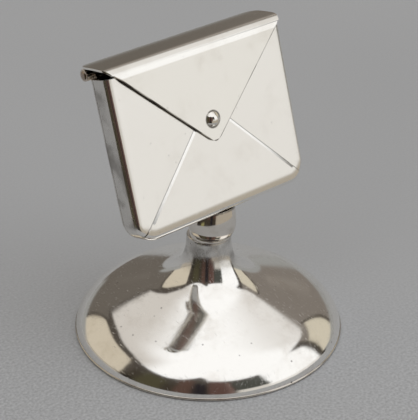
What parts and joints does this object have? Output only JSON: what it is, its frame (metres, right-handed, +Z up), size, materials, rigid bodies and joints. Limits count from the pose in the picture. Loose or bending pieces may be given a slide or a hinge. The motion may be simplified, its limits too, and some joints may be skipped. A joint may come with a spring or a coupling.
{
  "type": "stamp case",
  "caption": "Silver stamp case shaped as a folded envelope with a pointed, hinged lid, leaning back on a small knop over a round trumpet foot.",
  "frame": {"origin": "centre of the round foot, on the table", "axes": "+Z up; the front of the case, with the flap and the stud, looks along -Y; +X is to the right of someone who looks at that front"},
  "size_m": [0.042, 0.042, 0.0469],
  "materials": {
    "polished_silver": "polished silver with fine wear",
    "dull_silver": "silver left dull or gone a little brown where it isn't rubbed"
  },
  "bodies": {
    "stand": {"foot": "polished_silver", "rim_wire": "polished_silver", "stem_peg": "dull_silver", "knop": "polished_silver", "case_back": "polished_silver", "left_leaf": "polished_silver", "right_leaf": "polished_silver", "bottom_leaf": "polished_silver", "hinge_bearer": "dull_silver", "left_knuckle": "polished_silver", "right_knuckle": "polished_silver", "hinge_pin": "dull_silver"},
    "lid": {"lid": "polished_silver", "lid_knuckle": "polished_silver", "seal_stud": "polished_silver"}
  },
  "joints": [
    {"name": "lid_hinge", "type": "hinge", "parent": "stand", "child": "lid", "pos_m": [0, 0.00848, 0.04449], "axis": [-1, 0, 0], "range_deg": [0, 135]}
  ]
}
